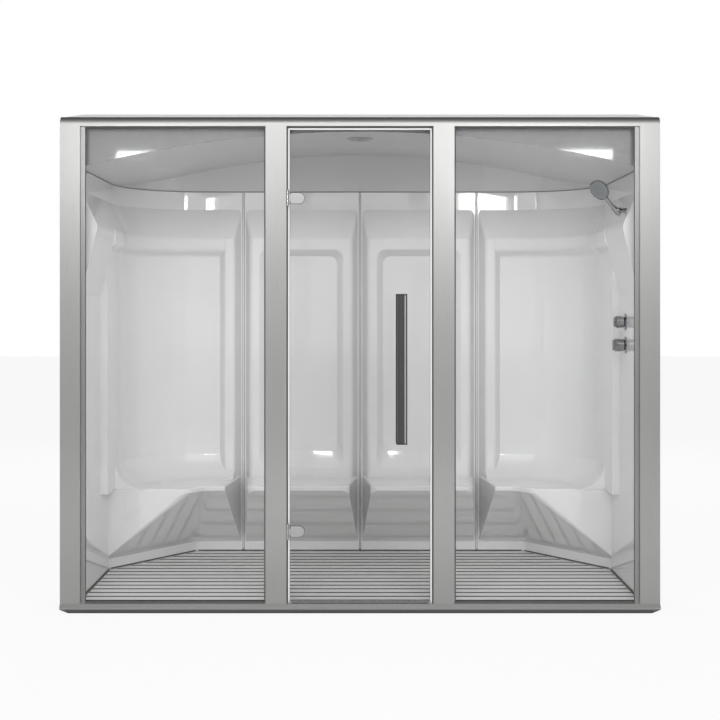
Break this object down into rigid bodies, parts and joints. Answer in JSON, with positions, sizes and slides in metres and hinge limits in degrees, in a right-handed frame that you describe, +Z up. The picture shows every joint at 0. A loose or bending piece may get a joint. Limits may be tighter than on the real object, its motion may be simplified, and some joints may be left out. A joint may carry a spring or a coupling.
{
  "type": "steam room",
  "caption": "Prefabricated steam room with an aluminium and glass front, an outward opening glass door, moulded white seats, a vaulted ceiling, a slatted floor and a shower.",
  "frame": {"origin": "on the underside of the floor tray, in the middle of the width and of the room's depth", "axes": "+X to the right as seen from the front, +Y from the glass front to the rear wall, +Z up"},
  "size_m": [2.63, 1.276, 2.2],
  "materials": {
    "satin_aluminium": "satin anodised",
    "clear_glass": "clear",
    "white_acrylic": "gloss",
    "roof_panel": "satin",
    "tray_plastic": "matte",
    "slat_plastic": "satin",
    "bearer_plastic": "matte",
    "white_seal": "soft white",
    "clear_sweep": "translucent",
    "grey_gasket": "soft grey",
    "hinge_chrome": "satin chrome",
    "pin_steel": "plain",
    "handle_grey": "satin dark grey",
    "standoff_steel": "satin",
    "shower_chrome": "polished",
    "spray_plastic": "satin",
    "valve_brass": "plain",
    "drain_steel": "brushed",
    "clip_steel": "plain",
    "lamp_trim": "satin white",
    "lamp_lens": "frosted"
  },
  "bodies": {
    "cabin": {"left_end_post": "satin_aluminium", "right_end_post": "satin_aluminium", "hinge_post": "satin_aluminium", "latch_post": "satin_aluminium", "header_rail": "satin_aluminium", "sill_rail": "satin_aluminium", "left_wall_channel": "satin_aluminium", "right_wall_channel": "satin_aluminium", "left_fixed_glass": "clear_glass", "right_fixed_glass": "clear_glass", "rear_left_module": "white_acrylic", "rear_right_module": "white_acrylic", "left_corner_module": "white_acrylic", "right_corner_module": "white_acrylic", "ceiling_shell": "white_acrylic", "ceiling_fascia": "roof_panel", "floor_tray": "tray_plastic", "left_floor_grate": "slat_plastic", "centre_floor_grate": "slat_plastic", "right_floor_grate": "slat_plastic", "grate_bearers": "bearer_plastic", "hinge_jamb_seal": "white_seal", "latch_jamb_seal": "white_seal", "header_seal": "white_seal", "left_glazing_gasket": "grey_gasket", "right_glazing_gasket": "grey_gasket", "left_seam_gasket": "grey_gasket", "centre_seam_gasket": "grey_gasket", "right_seam_gasket": "grey_gasket", "ceiling_gasket": "grey_gasket", "upper_hinge_post_leaf": "hinge_chrome", "lower_hinge_post_leaf": "hinge_chrome", "hinge_pins": "pin_steel", "flow_rosette": "shower_chrome", "temperature_rosette": "shower_chrome", "shower_arm": "shower_chrome", "mixer_body": "valve_brass", "shower_riser": "valve_brass", "drain_body": "drain_steel", "drain_grid": "drain_steel", "steam_nozzle": "drain_steel", "steam_pipe": "drain_steel", "flange_clips": "clip_steel", "light_bezel": "lamp_trim", "light_housing": "lamp_trim", "light_lens": "lamp_lens"},
    "door": {"door_glass": "clear_glass", "door_sweep": "clear_sweep", "upper_hinge_door_leaf": "hinge_chrome", "lower_hinge_door_leaf": "hinge_chrome", "hinge_inner_plates": "hinge_chrome", "outer_handle": "handle_grey", "inner_handle": "handle_grey", "handle_standoffs": "standoff_steel"},
    "flow_control": {"flow_knob": "shower_chrome"},
    "temperature_control": {"temperature_knob": "shower_chrome"},
    "shower": {"shower_holder": "shower_chrome", "hand_shower": "shower_chrome", "spray_plate": "spray_plastic"}
  },
  "joints": [
    {"name": "door_swing", "type": "hinge", "parent": "cabin", "child": "door", "pos_m": [-0.317, -0.627, 1.094], "axis": [0, 0, -1], "range_deg": [0, 95]},
    {"name": "flow_turn", "type": "hinge", "parent": "cabin", "child": "flow_control", "pos_m": [1.21, -0.237, 1.278], "axis": [-1, 0, 0], "range_deg": [0, 180]},
    {"name": "temperature_turn", "type": "hinge", "parent": "cabin", "child": "temperature_control", "pos_m": [1.21, -0.237, 1.17], "axis": [-1, 0, 0], "range_deg": [-90, 90]},
    {"name": "shower_tilt", "type": "hinge", "parent": "cabin", "child": "shower", "pos_m": [1.17, -0.43, 1.786], "axis": [1, 0, 0], "range_deg": [-30, 30]}
  ]
}
